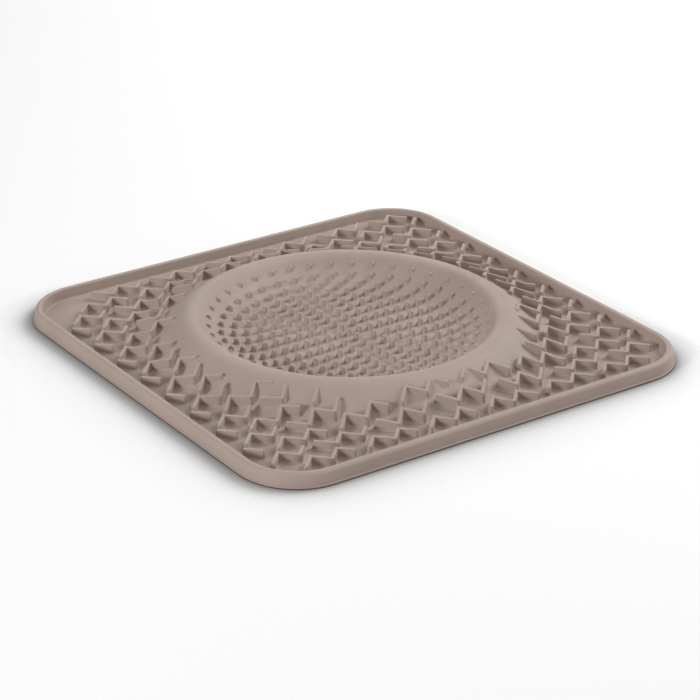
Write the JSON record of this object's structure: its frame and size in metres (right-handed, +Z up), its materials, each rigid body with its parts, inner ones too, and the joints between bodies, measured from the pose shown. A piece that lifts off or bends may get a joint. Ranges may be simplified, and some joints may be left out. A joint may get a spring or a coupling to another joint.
{
  "type": "lick mat",
  "caption": "Square silicone lick mat with a low rounded rim, zigzag ribs round a raised ring and a bowl of small nubs inside it",
  "frame": {"origin": "centre of the flat underside, on the plane that the mat rests on", "axes": "+Z up out of the bowl; the chains of ribs run along Y; the bare corner of the ribbed field lies toward -X and -Y"},
  "size_m": [0.2572, 0.2572, 0.015],
  "materials": {
    "silicone": "matte"
  },
  "bodies": {
    "root": {"mat": "silicone"}
  },
  "joints": []
}
